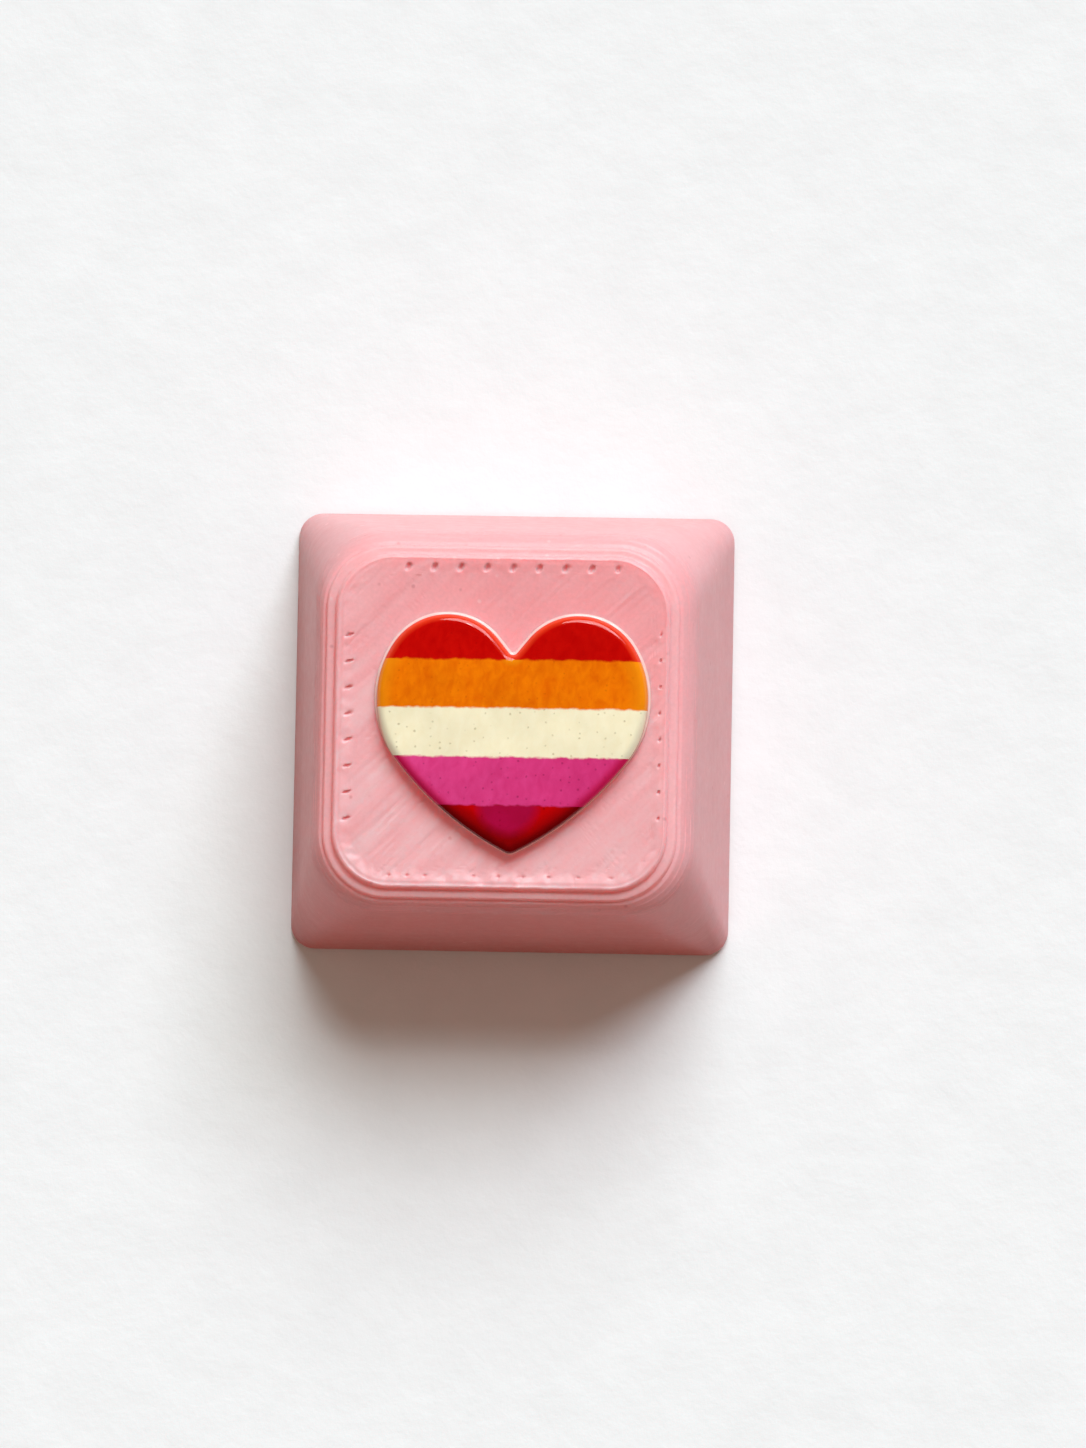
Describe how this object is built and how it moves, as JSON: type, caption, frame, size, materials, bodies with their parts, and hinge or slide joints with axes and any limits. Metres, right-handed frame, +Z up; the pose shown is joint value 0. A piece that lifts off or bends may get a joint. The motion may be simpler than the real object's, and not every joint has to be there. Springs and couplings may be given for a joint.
{
  "type": "artisan keycap",
  "caption": "Square printed keycap with drafted walls, a stepped rounded top edge, a raised glossy heart in level colour bands, and a cross-socket stem under its roof.",
  "frame": {"origin": "middle of the rim that the skirt stands on, on the stem's axis", "axes": "+Z up through the stem and the top face, +Y towards the heart's lobes, +X to the heart's right"},
  "size_m": [0.018, 0.018, 0.0093],
  "materials": {
    "pink_plastic": "matte",
    "red_gloss": "gloss",
    "orange_gloss": "gloss",
    "cream_gloss": "gloss",
    "magenta_gloss": "gloss",
    "crimson_gloss": "gloss"
  },
  "bodies": {
    "root": {"keycap_shell": "pink_plastic", "heart_red_band": "red_gloss", "heart_orange_band": "orange_gloss", "heart_cream_band": "cream_gloss", "heart_magenta_band": "magenta_gloss", "heart_crimson_band": "crimson_gloss"}
  },
  "joints": []
}
